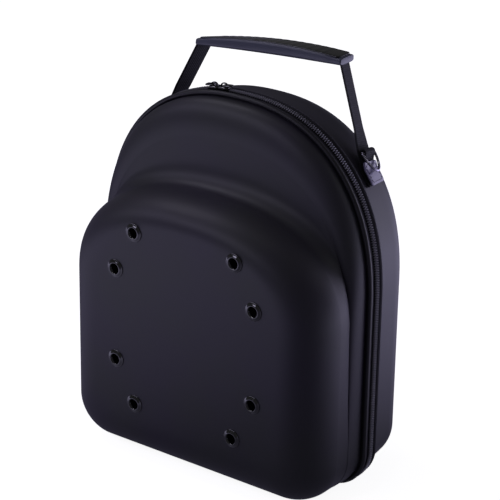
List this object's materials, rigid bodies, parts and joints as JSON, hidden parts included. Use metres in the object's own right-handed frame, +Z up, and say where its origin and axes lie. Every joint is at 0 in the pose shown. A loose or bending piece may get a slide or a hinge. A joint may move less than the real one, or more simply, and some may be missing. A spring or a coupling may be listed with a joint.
{
  "type": "baseball cap carrier case",
  "caption": "Hard-shell carrier case for baseball caps: arched zip-round case with a deep lower bulge, vent eyelets, webbing carry handle and side D-rings.",
  "frame": {"origin": "on the floor, on the underside of the hinge strip, in the zip plane and half way across the case", "axes": "+X is the case's right seen from its front, +Y runs from the front shell to the back shell, +Z is up to the handle"},
  "size_m": [0.2816, 0.1526, 0.3675],
  "materials": {
    "shell_fabric": "matte, smooth stretch fabric bonded over moulded EVA foam",
    "piping": "satin cord piping",
    "zip_tape": "fine woven tape with one stitch line",
    "zip_coil": "nylon coil teeth, slight sheen",
    "webbing": "ribbed polypropylene webbing",
    "tab_leather": "smooth black imitation leather with a stitched box",
    "ring_steel": "polished steel wire",
    "grip_plastic": "satin moulded grip with a glossy top",
    "black_metal": "glossy black lacquer"
  },
  "bodies": {
    "case": {"back_shell": "shell_fabric", "eyelet_bottom_left": "black_metal", "eyelet_bottom_right": "black_metal", "eyelet_lower_left": "black_metal", "eyelet_lower_right": "black_metal", "eyelet_top_left": "black_metal", "eyelet_top_right": "black_metal", "eyelet_upper_left": "black_metal", "eyelet_upper_right": "black_metal", "foot_hinge_strip": "zip_tape", "front_piping": "piping", "front_shell": "shell_fabric", "handle_grip": "grip_plastic", "ring_loop_left": "webbing", "ring_loop_right": "webbing", "side_tab_left": "tab_leather", "side_tab_right": "tab_leather", "slider_left": "black_metal", "slider_right": "black_metal", "strap_left": "webbing", "strap_right": "webbing", "zip_coil": "zip_coil", "zip_tape_back": "zip_tape", "zip_tape_front": "zip_tape"},
    "ring_left": {"d_ring_left": "ring_steel"},
    "ring_right": {"d_ring_right": "ring_steel"},
    "pull_left": {"pull_left": "black_metal"},
    "pull_right": {"pull_right": "black_metal"}
  },
  "joints": [
    {"name": "ring_left_hinge", "type": "hinge", "parent": "case", "child": "ring_left", "pos_m": [-0.10398, 0.03133, 0.29186], "axis": [0.0163, 0.9883, -0.1516], "range_deg": [0, 100]},
    {"name": "ring_right_hinge", "type": "hinge", "parent": "case", "child": "ring_right", "pos_m": [0.10478, 0.03111, 0.29193], "axis": [0.0288, -0.9903, 0.1362], "range_deg": [0, 100]},
    {"name": "pull_left_hinge", "type": "hinge", "parent": "case", "child": "pull_left", "pos_m": [-0.03136, 0, 0.33022], "axis": [0, 1, 0], "range_deg": [0, 95]},
    {"name": "pull_right_hinge", "type": "hinge", "parent": "case", "child": "pull_right", "pos_m": [-0.02071, 0, 0.33153], "axis": [0, -1, 0], "range_deg": [0, 95]}
  ]
}
